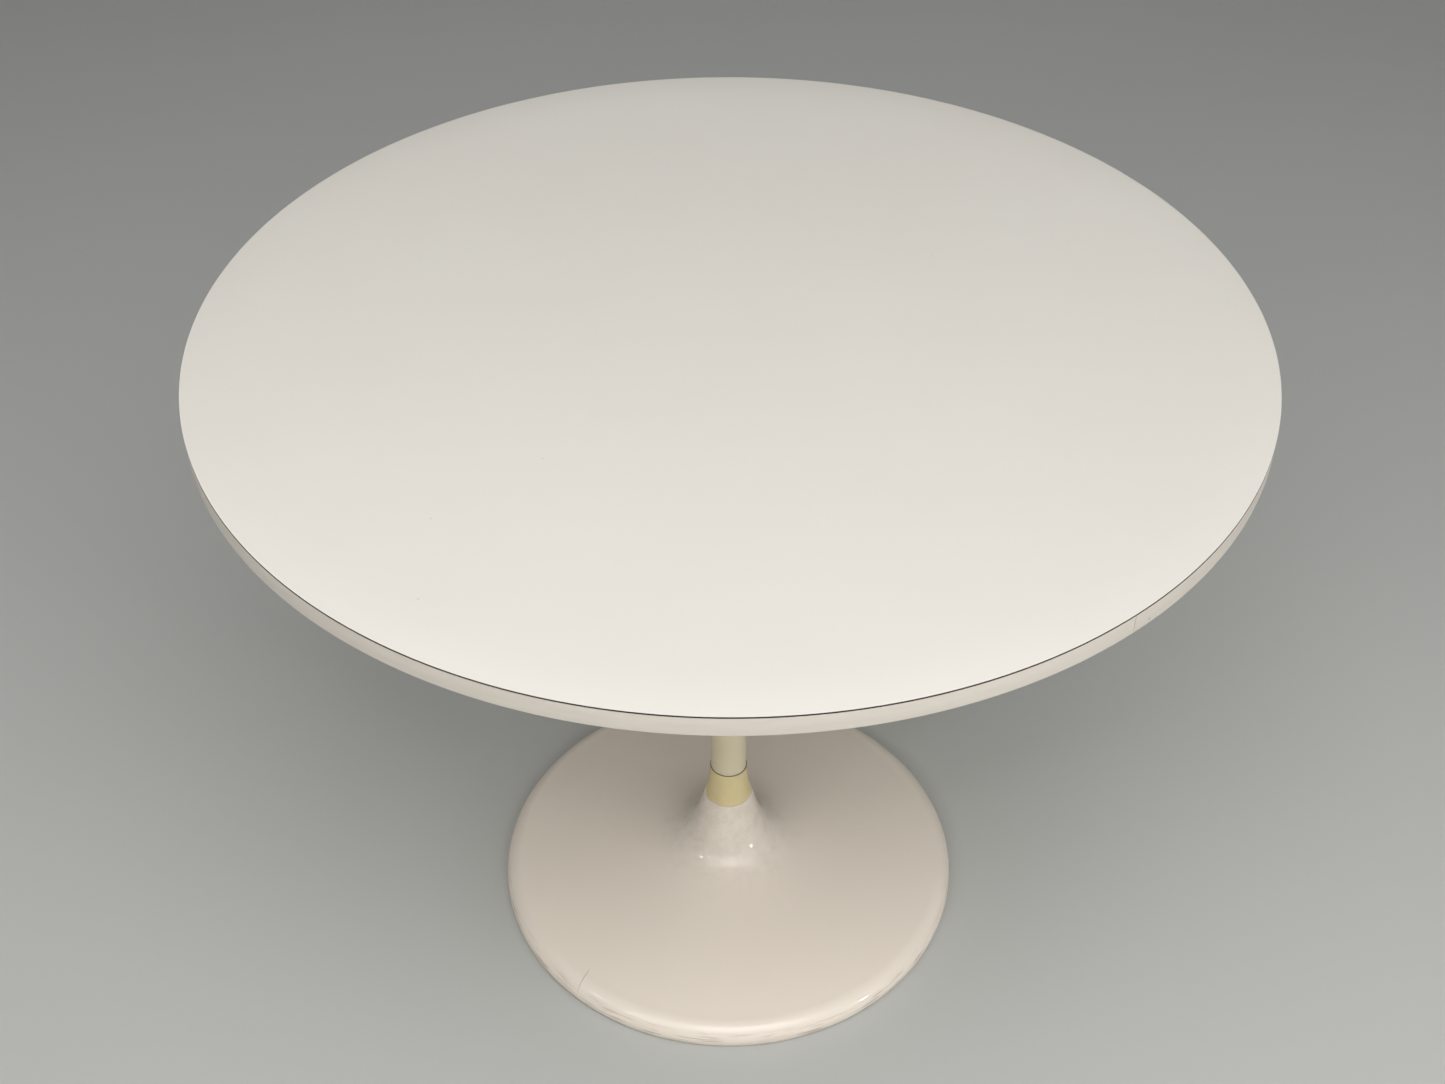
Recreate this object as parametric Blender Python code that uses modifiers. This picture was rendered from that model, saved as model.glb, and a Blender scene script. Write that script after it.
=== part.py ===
"""Round pedestal table: laminate top, steel spider, slim tube, collar and a weighted trumpet base.

Metres, +Z up. The origin is on the floor, under the middle of the table.
"""
from math import cos, pi, radians, sin

import bmesh
import bpy
from mathutils import Matrix, Vector

# Driving dimensions
TOP_RADIUS = 0.480
TOP_HEIGHT = 0.732
TOP_THICKNESS = 0.019
SHEET = 0.0010  # the laminate on the upper face, and the strip round the edge
BACKING = 0.0006
ARRIS = 0.0003  # small chamfer on the laminate's edges
GAP = 0.0003  # clearance left between pieces that touch
BAND_JOINT_ANGLE = radians(-51.4)
BAND_JOINT_WIDTH = 0.0004

TUBE_RADIUS = 0.019
TUBE_WALL = 0.002

SPIDER_ARMS = 4
ARM_REACH = 0.190
ARM_WIDTH = 0.030
ARM_THICKNESS = 0.005
GUSSET_REACH = 0.096
GUSSET_DEPTH = 0.026
GUSSET_TIP = 0.003
GUSSET_SUNK = 0.002  # how far it reaches into the arm, to join
HUB_RADIUS = 0.026
HUB_DEPTH = 0.040
HUB_BEVEL = 0.0015
SPIGOT_LENGTH = 0.040
NUT_SEAT_DEPTH = 0.016  # of the counterbore in the hub, below the underside of the top
SCREW_REACHES = (0.110, 0.172)
SCREW_SHANK_RADIUS = 0.00225
SCREW_HEAD_RADIUS = 0.0045
SCREW_LENGTH = 0.016
SCREW_POINT = 0.004
SCREW_HEAD_HEIGHT = 0.0026
SCREW_HEAD_CHAMFER = 0.0012

ROD_RADIUS = 0.005
ROD_END = 0.002  # of the rod that stands past each nut
NUT_ACROSS_FLATS = 0.017
NUT_HEIGHT = 0.008
WASHER_RADIUS = 0.010
WASHER_THICKNESS = 0.002
COUNTERBORE_RADIUS = 0.013  # round the nuts, in the hub and in the weight

COLLAR_TOP = 0.166
NECK_TOP = 0.1238
COLLAR_TOP_RADIUS = 0.0200
COLLAR_BOTTOM_RADIUS = 0.0251
COLLAR_SPIGOT = 0.012
COLLAR_HEAD_HANDLE = (0.0003, 0.020)  # out and along from the head of the collar's curve
COLLAR_FOOT_HANDLE = (0.0029, 0.010)  # in and along from its foot

BASE_RADIUS = 0.250
SHELL = 0.004
NECK_RADIUS = 0.0262
NECK_LIP = 0.0008
NECK_SLOPE = radians(78)
NECK_HANDLE = 0.090  # lengths of the handles of the trumpet's curve
DISH_HANDLE = 0.165
DISH_SLOPE = radians(8.5)
RIM_START = (0.230, 0.028)
RIM_WIDEST_HEIGHT = 0.0110
RIM_LIP = (0.2482, 0.0063)

TRIM_OUTER = 0.2468
TRIM_HEIGHTS = (0.0015, 0.0060)
WEIGHT_RADIUS = 0.240
WEIGHT_BOTTOM = 0.0023
WEIGHT_THICKNESS = 0.012
WEIGHT_CHAMFER = 0.003
WEIGHT_COUNTERBORE_DEPTH = 0.014
BOSS_RADIUS = 0.030
BOSS_FLARE = 0.006
BOSS_TOP = 0.034
BOSS_SPIGOT = 0.030
PADS = 4
PAD_REACH = 0.215
PAD_RADIUS = 0.016
PAD_THICKNESS = 0.002

# Round pieces are drawn with these numbers of sides
TOP_SIDES = 96
BASE_SIDES = 64
SMALL_SIDES = 36
TINY_SIDES = 12

UNDERSIDE = TOP_HEIGHT - TOP_THICKNESS
ARM_TOP = UNDERSIDE - GAP
HUB_SHOULDER = ARM_TOP - HUB_DEPTH
MERGE = 0.00005
CUT_MARGIN = 0.010  # how far a cutter runs past what it cuts


def clear_scene():
    """Empty the scene and return the collections for the parts and for the cutters."""
    for obj in list(bpy.data.objects):
        bpy.data.objects.remove(obj, do_unlink=True)
    parts = bpy.data.collections.new("round_pedestal_table")
    cutters = bpy.data.collections.new("cutters")
    for collection in (parts, cutters):
        bpy.context.scene.collection.children.link(collection)
    return parts, cutters


PARTS, CUTTERS = clear_scene()


def material(name, colour, roughness, metallic=0.0):
    """A Principled material with one colour."""
    made = bpy.data.materials.new(name)
    made.use_nodes = True
    shader = made.node_tree.nodes["Principled BSDF"]
    shader.inputs["Base Color"].default_value = (*colour, 1.0)
    shader.inputs["Roughness"].default_value = roughness
    shader.inputs["Metallic"].default_value = metallic
    return made


LAMINATE = material("white_laminate", (0.82, 0.79, 0.72), 0.35)
CHIPBOARD = material("chipboard", (0.42, 0.28, 0.15), 0.80)
BACKING_SHEET = material("backing_laminate", (0.45, 0.36, 0.27), 0.55)
ENAMEL = material("cream_enamel", (0.62, 0.56, 0.42), 0.30)
COLLAR_PLASTIC = material("yellowed_plastic", (0.56, 0.47, 0.25), 0.40)
BASE_GELCOAT = material("white_gelcoat", (0.72, 0.66, 0.57), 0.22)
TRIM_PLASTIC = material("white_trim_plastic", (0.70, 0.65, 0.56), 0.40)
CAST_IRON = material("cast_iron", (0.10, 0.10, 0.10), 0.70, 0.9)
STEEL = material("zinc_plated_steel", (0.60, 0.60, 0.58), 0.35, 1.0)
FELT = material("felt", (0.12, 0.10, 0.09), 0.95)


def link(obj, collection, paint=None):
    """Put an object in its collection and give it its material."""
    collection.objects.link(obj)
    if paint:
        obj.data.materials.append(paint)
    return obj


def smooth(mesh):
    """Shade a mesh smooth but for its edges sharper than 40 degrees."""
    mesh.shade_smooth()
    mesh.set_sharp_from_angle(angle=radians(40))


def turned(name, outline, sides, paint):
    """A closed outline of (radius, height) points turned about Z.

    The outline runs down its outer side and back up its inner one. A point on the axis has radius 0.
    """
    mesh = bpy.data.meshes.new(name)
    count = len(outline)
    on_axis = outline[0][0] == 0 and outline[-1][0] == 0
    edges = [(i, i + 1) for i in range(count - 1)]
    if not on_axis:
        edges.append((count - 1, 0))
    mesh.from_pydata([(r, 0.0, z) for r, z in outline], edges, [])
    obj = link(bpy.data.objects.new(name, mesh), PARTS, paint)
    screw = obj.modifiers.new("turn", "SCREW")
    screw.steps = sides
    screw.render_steps = sides
    screw.use_merge_vertices = True
    screw.merge_threshold = MERGE
    screw.use_smooth_shade = True
    return obj


def cylinder(name, radius, low, high, sides, collection, at=(0.0, 0.0), paint=None):
    """A plain upright cylinder between two heights."""
    shape = bmesh.new()
    bmesh.ops.create_cone(shape, cap_ends=True, segments=sides, radius1=radius, radius2=radius,
                          depth=high - low)
    mesh = bpy.data.meshes.new(name)
    shape.to_mesh(mesh)
    shape.free()
    smooth(mesh)
    obj = link(bpy.data.objects.new(name, mesh), collection, paint)
    obj.location = (at[0], at[1], (low + high) / 2)
    return obj


def box(name, size, centre, collection, turn=0.0):
    """A box of a given size, turned about Z."""
    shape = bmesh.new()
    bmesh.ops.create_cube(shape, size=1.0, matrix=Matrix.Diagonal((*size, 1.0)))
    mesh = bpy.data.meshes.new(name)
    shape.to_mesh(mesh)
    shape.free()
    obj = link(bpy.data.objects.new(name, mesh), collection)
    obj.location = centre
    obj.rotation_euler.z = turn
    return obj


def combine(obj, other, operation):
    """Cut or join an object with another, which shows as wires only and never in a render."""
    other.hide_render = True
    other.display_type = "WIRE"
    boolean = obj.modifiers.new(operation.lower() + "_" + other.name, "BOOLEAN")
    boolean.operation = operation
    boolean.solver = "EXACT"
    boolean.object = other


def around(reach, angle):
    """The point at a distance from the axis and an angle from +X."""
    return reach * cos(angle), reach * sin(angle)


def bezier(start, start_handle, end_handle, end, steps):
    """Points along a cubic Bezier curve, both ends included."""
    points = []
    for i in range(steps + 1):
        t = i / steps
        weights = ((1 - t) ** 3, 3 * (1 - t) ** 2 * t, 3 * (1 - t) * t * t, t ** 3)
        corners = (start, start_handle, end_handle, end)
        points.append(tuple(sum(w * c[k] for w, c in zip(weights, corners)) for k in (0, 1)))
    return points


def inset(points, distance):
    """Move each point of a falling outline inwards, at right angles to the outline."""
    moved = []
    last = len(points) - 1
    for i, point in enumerate(points):
        before = Vector(points[max(i - 1, 0)])
        after = Vector(points[min(i + 1, last)])
        along = (after - before).normalized()
        moved.append((point[0] + along.y * distance, point[1] - along.x * distance))
    return moved


# Table top

def screw_places():
    """Each wood screw's angle and reach, arm by arm."""
    for arm in range(SPIDER_ARMS):
        for reach in SCREW_REACHES:
            yield arm_angle(arm), reach


def arm_angle(arm):
    return pi / 4 + arm * 2 * pi / SPIDER_ARMS


def screw_hole_cutter():
    """One upright hole cutter at every screw, as a single object."""
    shape = bmesh.new()
    low = ARM_TOP - ARM_THICKNESS - CUT_MARGIN
    high = ARM_TOP - ARM_THICKNESS + SCREW_LENGTH + GAP
    for angle, reach in screw_places():
        x, y = around(reach, angle)
        bmesh.ops.create_cone(shape, cap_ends=True, segments=TINY_SIDES,
                              radius1=SCREW_SHANK_RADIUS + GAP, radius2=SCREW_SHANK_RADIUS + GAP,
                              depth=high - low, matrix=Matrix.Translation((x, y, (low + high) / 2)))
    mesh = bpy.data.meshes.new("screw_holes")
    shape.to_mesh(mesh)
    shape.free()
    return link(bpy.data.objects.new("screw_holes", mesh), CUTTERS)


def make_top():
    """The board, its laminates and the strip round its edge."""
    holes = screw_hole_cutter()
    sheet_low = TOP_HEIGHT - SHEET
    turned("top_laminate", [(0, TOP_HEIGHT), (TOP_RADIUS - ARRIS, TOP_HEIGHT),
                            (TOP_RADIUS, TOP_HEIGHT - ARRIS), (TOP_RADIUS, sheet_low), (0, sheet_low)],
           TOP_SIDES, LAMINATE)
    inner = TOP_RADIUS - SHEET
    band_top = sheet_low - GAP
    band = turned("edge_band", [(inner, band_top), (TOP_RADIUS, band_top),
                                (TOP_RADIUS, UNDERSIDE + ARRIS), (TOP_RADIUS - ARRIS, UNDERSIDE),
                                (inner, UNDERSIDE)], TOP_SIDES, LAMINATE)
    joint = box("band_joint", (CUT_MARGIN, BAND_JOINT_WIDTH, 2 * TOP_THICKNESS),
                (*around(TOP_RADIUS, BAND_JOINT_ANGLE), UNDERSIDE + TOP_THICKNESS / 2), CUTTERS,
                turn=BAND_JOINT_ANGLE)
    combine(band, joint, "DIFFERENCE")
    core_radius = inner - GAP
    backing_top = UNDERSIDE + BACKING
    board = turned("top_board", [(0, band_top), (core_radius, band_top), (core_radius, backing_top + GAP),
                                 (0, backing_top + GAP)], TOP_SIDES, CHIPBOARD)
    backing = turned("backing_laminate", [(0, backing_top), (core_radius, backing_top),
                                          (core_radius, UNDERSIDE), (0, UNDERSIDE)],
                     TOP_SIDES, BACKING_SHEET)
    for piece in (board, backing):
        combine(piece, holes, "DIFFERENCE")
    return holes


# Spider

def make_hub():
    """The turned hub, its spigot down the tube, the rod's bore and the counterbore for the nut."""
    bore = ROD_RADIUS + GAP
    spigot = TUBE_RADIUS - TUBE_WALL - GAP
    nut_seat = UNDERSIDE - NUT_SEAT_DEPTH
    turned("spider_hub", [(COUNTERBORE_RADIUS, ARM_TOP), (HUB_RADIUS, ARM_TOP),
                          (HUB_RADIUS, HUB_SHOULDER + HUB_BEVEL), (HUB_RADIUS - HUB_BEVEL, HUB_SHOULDER),
                          (spigot, HUB_SHOULDER), (spigot, HUB_SHOULDER - SPIGOT_LENGTH),
                          (bore, HUB_SHOULDER - SPIGOT_LENGTH), (bore, nut_seat),
                          (COUNTERBORE_RADIUS, nut_seat)], SMALL_SIDES, ENAMEL)
    return nut_seat


def plate(name, corners, thickness, placing):
    """A flat plate from an outline in XY, half its thickness to each side, then placed by a matrix."""
    outline = bpy.data.curves.new(name, "CURVE")
    outline.dimensions = "2D"
    outline.fill_mode = "BOTH"
    outline.extrude = thickness / 2
    spline = outline.splines.new("POLY")
    spline.points.add(len(corners) - 1)
    for point, corner in zip(spline.points, corners):
        point.co = (*corner, 0.0, 1.0)
    spline.use_cyclic_u = True
    flat = bpy.data.objects.new(name, outline)
    CUTTERS.objects.link(flat)
    bpy.context.view_layer.update()
    evaluated = flat.evaluated_get(bpy.context.evaluated_depsgraph_get())
    mesh = bpy.data.meshes.new_from_object(evaluated)
    bpy.data.objects.remove(flat, do_unlink=True)
    shape = bmesh.new()
    shape.from_mesh(mesh)
    bmesh.ops.remove_doubles(shape, verts=shape.verts, dist=MERGE)
    bmesh.ops.transform(shape, matrix=placing, verts=shape.verts)
    shape.to_mesh(mesh)
    shape.free()
    return bpy.data.objects.new(name, mesh)


def arm_outline():
    """An arm seen from above, along +X: square at the hub and half round at its free end."""
    half = ARM_WIDTH / 2
    turns = 10
    end = [(ARM_REACH - half + half * sin(pi * i / turns), -half * cos(pi * i / turns))
           for i in range(turns + 1)]
    return [(HUB_RADIUS + GAP, -half)] + end + [(HUB_RADIUS + GAP, half)]


def make_arm(number, angle, holes):
    """A flat arm butted against the hub, with a tapered gusset under it and two screw holes."""
    name = f"spider_arm_{number}"
    turn = Matrix.Rotation(angle, 4, "Z")
    level = turn @ Matrix.Translation((0, 0, ARM_TOP - ARM_THICKNESS / 2))
    arm = link(plate(name, arm_outline(), ARM_THICKNESS, level), PARTS, ENAMEL)
    start = HUB_RADIUS + GAP
    web = [(start, GUSSET_SUNK), (start, -GUSSET_DEPTH), (GUSSET_REACH, -GUSSET_TIP),
           (GUSSET_REACH, GUSSET_SUNK)]
    upright = turn @ Matrix.Translation((0, 0, ARM_TOP - ARM_THICKNESS)) @ Matrix.Rotation(pi / 2, 4, "X")
    gusset = link(plate(f"gusset_{number}", web, ARM_THICKNESS, upright), CUTTERS)
    combine(arm, gusset, "UNION")
    combine(arm, holes, "DIFFERENCE")


def make_screw(number, angle, reach):
    """A pan-head wood screw, driven up through an arm into the board."""
    seat = ARM_TOP - ARM_THICKNESS - GAP
    tip = ARM_TOP - ARM_THICKNESS + SCREW_LENGTH
    head = SCREW_HEAD_RADIUS
    low = seat - SCREW_HEAD_HEIGHT
    screw = turned(f"wood_screw_{number}",
                   [(0, tip), (SCREW_SHANK_RADIUS, tip - SCREW_POINT), (SCREW_SHANK_RADIUS, seat),
                    (head, seat), (head, low + SCREW_HEAD_CHAMFER),
                    (head - SCREW_HEAD_CHAMFER, low), (0, low)],
                   TINY_SIDES, STEEL)
    screw.location = (*around(reach, angle), 0)


def make_spider(holes):
    """Hub, arms and wood screws."""
    nut_seat = make_hub()
    for arm in range(SPIDER_ARMS):
        make_arm(arm + 1, arm_angle(arm), holes)
    for number, (angle, reach) in enumerate(screw_places(), start=1):
        make_screw(number, angle, reach)
    return nut_seat


# Column

def ring(name, outer, inner, low, high, sides, paint):
    """A plain ring of rectangular section."""
    return turned(name, [(inner, high), (outer, high), (outer, low), (inner, low)], sides, paint)


def make_nut(name, low):
    """A hexagon nut on the rod."""
    across_corners = NUT_ACROSS_FLATS / cos(pi / 6)
    nut = cylinder(name, across_corners / 2, low, low + NUT_HEIGHT, 6, PARTS, paint=STEEL)
    bore = cylinder(name + "_bore", ROD_RADIUS + GAP, low - CUT_MARGIN, low + NUT_HEIGHT + CUT_MARGIN,
                    TINY_SIDES * 2, CUTTERS)
    combine(nut, bore, "DIFFERENCE")


def make_column(nut_seat):
    """The tube, and the rod that pulls hub, tube and weight together."""
    ring("column_tube", TUBE_RADIUS, TUBE_RADIUS - TUBE_WALL, BOSS_TOP + GAP, HUB_SHOULDER - GAP,
         SMALL_SIDES, ENAMEL)
    bore = ROD_RADIUS + GAP
    washer_low = nut_seat + GAP
    nut_low = washer_low + WASHER_THICKNESS + GAP
    ring("upper_washer", WASHER_RADIUS, bore, washer_low, washer_low + WASHER_THICKNESS,
         TINY_SIDES * 2, STEEL)
    make_nut("upper_nut", nut_low)
    lower_seat = counterbore_top() - GAP
    lower_nut = lower_seat - WASHER_THICKNESS - GAP - NUT_HEIGHT
    ring("lower_washer", WASHER_RADIUS, bore, lower_seat - WASHER_THICKNESS, lower_seat,
         TINY_SIDES * 2, STEEL)
    make_nut("lower_nut", lower_nut)
    cylinder("tie_rod", ROD_RADIUS, lower_nut - ROD_END, nut_low + NUT_HEIGHT + ROD_END, TINY_SIDES * 2,
             PARTS, paint=STEEL)


def make_collar():
    """The tapered collar round the foot of the tube, with a skirt that centres the neck of the base."""
    hole = TUBE_RADIUS + GAP
    bottom = NECK_TOP + GAP
    skirt = NECK_RADIUS - SHELL - GAP
    below_head = (COLLAR_TOP_RADIUS + COLLAR_HEAD_HANDLE[0], COLLAR_TOP - COLLAR_HEAD_HANDLE[1])
    above_foot = (COLLAR_BOTTOM_RADIUS - COLLAR_FOOT_HANDLE[0], bottom + COLLAR_FOOT_HANDLE[1])
    outside = bezier((COLLAR_TOP_RADIUS, COLLAR_TOP), below_head, above_foot,
                     (COLLAR_BOTTOM_RADIUS, bottom), 7)
    inside = [(skirt, bottom), (skirt, NECK_TOP - COLLAR_SPIGOT), (hole, NECK_TOP - COLLAR_SPIGOT),
              (hole, COLLAR_TOP)]
    turned("collar", outside + inside, SMALL_SIDES, COLLAR_PLASTIC)


# Base

def base_outside():
    """The outer line of the base: a rounded neck lip, the trumpet, the rolled rim and its lip."""
    start = (NECK_RADIUS, NECK_TOP - NECK_LIP)
    below_neck = (start[0] + NECK_HANDLE * cos(NECK_SLOPE), start[1] - NECK_HANDLE * sin(NECK_SLOPE))
    above_rim = (RIM_START[0] - DISH_HANDLE * cos(DISH_SLOPE), RIM_START[1] + DISH_HANDLE * sin(DISH_SLOPE))
    trumpet = bezier(start, below_neck, above_rim, RIM_START, 16)
    width = BASE_RADIUS - RIM_START[0]
    depth = RIM_START[1] - RIM_WIDEST_HEIGHT
    rim = []
    for angle in (24, 45, 67, 90):
        a = radians(angle)
        rim.append((RIM_START[0] + width * sin(a), RIM_WIDEST_HEIGHT + depth * cos(a)))
    return [(NECK_RADIUS - NECK_LIP, NECK_TOP)] + trumpet + rim + [RIM_LIP]


def make_base_cover():
    """The moulded trumpet: its outer line, and the same line one wall thickness inside."""
    outside = base_outside()
    inside = inset(outside[2:-1:2], SHELL)
    neck = NECK_RADIUS - SHELL
    inside = [(neck, NECK_TOP)] + [p for p in inside if p[0] > neck] + [(RIM_LIP[0] - SHELL, RIM_LIP[1])]
    turned("base_cover", outside + inside[::-1], BASE_SIDES, BASE_GELCOAT)


def counterbore_top():
    """Height of the flat that the lower washer bears on."""
    return WEIGHT_BOTTOM + WEIGHT_COUNTERBORE_DEPTH


def make_weight():
    """The cast plate with its boss, the spigot in the tube, the rod's bore and a counterbore below."""
    top = WEIGHT_BOTTOM + WEIGHT_THICKNESS
    bore = ROD_RADIUS + GAP
    spigot = TUBE_RADIUS - TUBE_WALL - GAP
    spigot_top = BOSS_TOP + BOSS_SPIGOT
    turned("base_weight", [(bore, spigot_top), (spigot, spigot_top), (spigot, BOSS_TOP),
                           (BOSS_RADIUS, BOSS_TOP), (BOSS_RADIUS + BOSS_FLARE, top),
                           (WEIGHT_RADIUS - WEIGHT_CHAMFER, top), (WEIGHT_RADIUS, top - WEIGHT_CHAMFER),
                           (WEIGHT_RADIUS, WEIGHT_BOTTOM), (COUNTERBORE_RADIUS, WEIGHT_BOTTOM),
                           (COUNTERBORE_RADIUS, counterbore_top()), (bore, counterbore_top())],
           BASE_SIDES, CAST_IRON)


def make_trim():
    """The strip pushed round the edge of the weight, under the rim of the cover."""
    low, high = TRIM_HEIGHTS
    ring("rim_trim", TRIM_OUTER, WEIGHT_RADIUS + GAP, low, high, BASE_SIDES, TRIM_PLASTIC)


def make_pads():
    """Felt pads under the weight."""
    for number in range(PADS):
        at = around(PAD_REACH, number * 2 * pi / PADS)
        cylinder(f"felt_pad_{number + 1}", PAD_RADIUS, 0.0, PAD_THICKNESS, TINY_SIDES * 2, PARTS,
                 at=at, paint=FELT)


def make_table():
    holes = make_top()
    nut_seat = make_spider(holes)
    make_column(nut_seat)
    make_collar()
    make_base_cover()
    make_weight()
    make_trim()
    make_pads()


make_table()
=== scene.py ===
"""Round pedestal table: laminate top, enamelled tube, aged collar and a glossy moulded trumpet base."""
from math import cos, pi, radians, sin

import bmesh
import bpy
import numpy as np
from bpy.props import FloatProperty, FloatVectorProperty, IntProperty, PointerProperty
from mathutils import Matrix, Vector


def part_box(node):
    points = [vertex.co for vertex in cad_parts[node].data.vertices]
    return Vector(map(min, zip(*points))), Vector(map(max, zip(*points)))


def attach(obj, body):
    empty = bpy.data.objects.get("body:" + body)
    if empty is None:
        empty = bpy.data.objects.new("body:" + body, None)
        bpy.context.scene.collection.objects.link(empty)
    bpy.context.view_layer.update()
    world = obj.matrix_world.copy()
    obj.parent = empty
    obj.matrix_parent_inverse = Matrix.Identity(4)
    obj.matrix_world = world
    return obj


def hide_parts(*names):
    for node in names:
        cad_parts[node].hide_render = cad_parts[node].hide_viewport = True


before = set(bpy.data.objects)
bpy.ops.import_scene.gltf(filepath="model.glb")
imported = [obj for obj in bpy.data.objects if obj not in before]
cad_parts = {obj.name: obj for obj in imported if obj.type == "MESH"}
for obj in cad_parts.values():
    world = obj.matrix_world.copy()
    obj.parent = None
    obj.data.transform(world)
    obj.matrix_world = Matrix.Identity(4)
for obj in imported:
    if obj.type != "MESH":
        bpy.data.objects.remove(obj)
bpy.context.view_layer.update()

bl_info = {
    "name": "Round pedestal table",
    "version": (1, 0, 0),
    "blender": (4, 5, 0),
    "location": "View3D > Sidebar > Table",
    "description": "Builds the visible pieces and finishes of a round pedestal table",
    "category": "Object",
}

ROOT = "root"
MM = 0.001
GAP = 0.3 * MM  # clearance between pieces that touch
DECOR = 0.08 * MM  # white layer on the laminate, over its dark core
A, B, MIXED = 6, 7, 2  # sockets of a Mix node that blends colours


# Sizes taken from the frame

def low_of(node):
    """Lowest height of a node."""
    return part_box(node)[0][2]


def high_of(node):
    """Greatest height of a node."""
    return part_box(node)[1][2]


def radius_of(node):
    """Outer radius of a node that is turned about the table's axis."""
    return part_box(node)[1][0]


def centre_of(node):
    """Middle of a node's box, seen from above."""
    low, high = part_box(node)
    return (low[0] + high[0]) / 2, (low[1] + high[1]) / 2


def nodes_named(start):
    """Names of the CAD nodes that begin with a word, in order."""
    return [name for name in sorted(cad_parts) if name.startswith(start)]


# Colour and shader nodes

def linear(code):
    """An sRGB hex code, such as "#f0e8da", as linear red, green, blue and alpha."""
    parts = [int(code[i:i + 2], 16) / 255 for i in (1, 3, 5)]
    return (*(c / 12.92 if c <= 0.04045 else ((c + 0.055) / 1.055) ** 2.4 for c in parts), 1.0)


def add(tree, kind, settings, links=None, out=0):
    """Add a shader node and give back one of its outputs.

    The settings are values of its inputs or its own options; the links say which output feeds which input.
    """
    node = tree.nodes.new("ShaderNode" + kind)
    for key, value in settings.items():
        if isinstance(key, int) or key in node.inputs:
            node.inputs[key].default_value = value
        else:
            setattr(node, key, value)
    for key, source in (links or {}).items():
        tree.links.new(source, node.inputs[key])
    return node.outputs[out] if len(node.outputs) else node


def start_finish(name):
    """A new material, its node tree and the place on the piece that its patterns read."""
    made = bpy.data.materials.new(name)
    made.use_nodes = True
    made.node_tree.nodes.clear()
    return made, made.node_tree, add(made.node_tree, "TexCoord", {}, out="Object")


def end_finish(made, settings, links):
    """Close a material with its Principled shader."""
    shader = add(made.node_tree, "BsdfPrincipled", settings, links)
    add(made.node_tree, "OutputMaterial", {}, {"Surface": shader})
    return made


def per_mm(size):
    """Scale of a pattern whose features are this many millimetres across."""
    return 1.0 / (size * MM)


def unrolled(tree, place, radius):
    """A turned surface laid flat: X is the distance round it at a radius and Y the height."""
    x, y, z = (add(tree, "SeparateXYZ", {}, {0: place}, out=axis) for axis in "XYZ")
    turn = add(tree, "Math", {"operation": "ARCTAN2"}, {0: y, 1: x})
    way = add(tree, "Math", {"operation": "MULTIPLY", 1: radius}, {0: turn})
    return add(tree, "CombineXYZ", {}, {0: way, 1: z})


def reach_of(tree, place):
    """Distance from the Z axis."""
    flat = add(tree, "VectorMath", {"operation": "MULTIPLY", 1: (1.0, 1.0, 0.0)}, {0: place})
    return add(tree, "VectorMath", {"operation": "LENGTH"}, {0: flat}, out="Value")


def mark(tree, place, at, size, turn, strength):
    """Mask of a short mark: an ellipse of a length and a width about a point, turned, with a soft edge."""
    local = add(tree, "Mapping", {"vector_type": "TEXTURE", "Location": (*at, 0.0),
                                  "Rotation": (0.0, 0.0, radians(turn)),
                                  "Scale": (size[0] / 2, size[1] / 2, 1.0)}, {"Vector": place})
    return add(tree, "MapRange", {"interpolation_type": "SMOOTHSTEP", "From Min": 0.6, "From Max": 1.1,
                                  "To Min": strength, "To Max": 0.0}, {"Value": reach_of(tree, local)})


# Surfaces

def arc(centre, radii, start, end, steps):
    """Points of an elliptical arc in the (radius, height) plane, angles in degrees from the outward way."""
    a = np.radians(np.linspace(start, end, steps + 1))
    return np.stack([centre[0] + radii[0] * np.cos(a), centre[1] + radii[1] * np.sin(a)], axis=1)


def bezier(corners, steps):
    """Points of a cubic Bezier curve: the sum of its four corners under the usual weights in t."""
    t = np.linspace(0, 1, steps + 1)[:, None]
    a, b, c, d = (np.asarray(p, float) for p in corners)
    return (1 - t) ** 3 * a + 3 * (1 - t) ** 2 * t * b + 3 * (1 - t) * t * t * c + t ** 3 * d


def inset(points, distance):
    """A falling outline moved inwards: each point steps a distance along its unit normal."""
    along = np.gradient(points, axis=0)
    along /= np.linalg.norm(along, axis=1)[:, None]
    return points + distance * np.stack([along[:, 1], -along[:, 0]], axis=1)


def rounded(corners, radius, closed=True, steps=4):
    """An outline with its corners eased.

    At a corner P the curve is the quadratic Bezier A, P, B, where A and B lie a radius from P along its two
    sides. A closed outline has all its corners eased, an open one keeps its two ends.
    """
    points = np.asarray(corners, float)
    if closed:
        points = np.concatenate([points[-1:], points, points[:1]])
    before, corner, after = points[:-2], points[1:-1], points[2:]
    sides = [np.linalg.norm(other - corner, axis=1)[:, None] for other in (before, after)]
    a, b = (corner + np.minimum(radius, 0.45 * length) * (other - corner) / length
            for other, length in zip((before, after), sides))
    t = np.linspace(0, 1, steps + 1)[None, :, None]
    curves = (1 - t) ** 2 * a[:, None] + 2 * (1 - t) * t * corner[:, None] + t * t * b[:, None]
    eased = curves.reshape(-1, 2)
    return eased if closed else np.concatenate([points[:1], eased, points[-1:]])


def whole_turn(columns):
    """Angles of the columns round a full turn."""
    return np.linspace(0, 2 * pi, columns, endpoint=False)


def turned_grid(radii, heights, turns):
    """Radii and heights carried round the Z axis: x = r cos a, y = r sin a, z = height.

    Each is a column, one value for each row, or a whole grid of them.
    """
    r, z, a = np.broadcast_arrays(radii, heights, np.asarray(turns)[None, :])
    return np.stack([r * np.cos(a), r * np.sin(a), z], axis=-1)


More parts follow.
